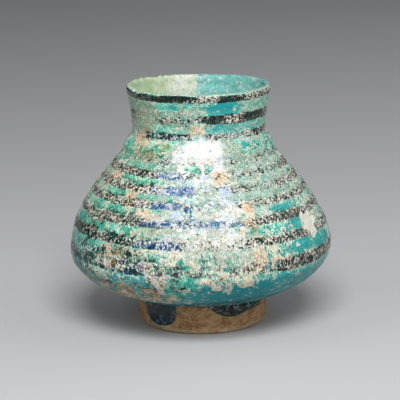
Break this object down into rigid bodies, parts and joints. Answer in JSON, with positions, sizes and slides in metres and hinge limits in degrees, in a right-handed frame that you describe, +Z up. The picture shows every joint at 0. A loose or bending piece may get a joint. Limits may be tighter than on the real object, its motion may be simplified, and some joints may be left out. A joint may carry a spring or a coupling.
{
  "type": "pottery jar",
  "caption": "Squat wide-bellied jar on a low foot ring, with a short open neck, painted rings and a worn turquoise glaze.",
  "frame": {"origin": "centre of the foot ring's standing face, on the jar's own axis", "axes": "+Z up the jar's axis to the mouth; -Y is the front that the picture shows, +X the right of it"},
  "size_m": [0.1306, 0.1306, 0.1187],
  "materials": {
    "stonepaste": "bare fired stonepaste, dry and gritty",
    "luting_slip": "fired slip, dry and smooth",
    "turquoise_glaze": "glossy alkaline glaze, pitted and crusted",
    "inner_glaze": "pale weathered alkaline glaze, satin",
    "black_slip": "black slip under glaze, speckled with wear",
    "run_glaze": "thick dark glaze run, glossy with a thin iridescent skin"
  },
  "bodies": {
    "root": {"foot_ring": "stonepaste", "lower_body": "stonepaste", "upper_body": "stonepaste", "neck_collar": "stonepaste", "foot_slip": "luting_slip", "belly_slip": "luting_slip", "neck_slip": "luting_slip", "lower_glaze": "turquoise_glaze", "shoulder_glaze": "turquoise_glaze", "neck_glaze": "turquoise_glaze", "floor_inner_glaze": "inner_glaze", "shoulder_inner_glaze": "inner_glaze", "neck_inner_glaze": "inner_glaze", "body_band_1": "black_slip", "body_band_2": "black_slip", "body_band_3": "black_slip", "body_band_4": "black_slip", "body_band_5": "black_slip", "body_band_6": "black_slip", "body_band_7": "black_slip", "neck_band_lower": "black_slip", "neck_band_upper": "black_slip", "rim_band": "black_slip", "foot_run_1": "run_glaze", "foot_run_2": "run_glaze", "foot_run_3": "run_glaze", "foot_run_4": "run_glaze", "foot_run_5": "run_glaze"}
  },
  "joints": []
}
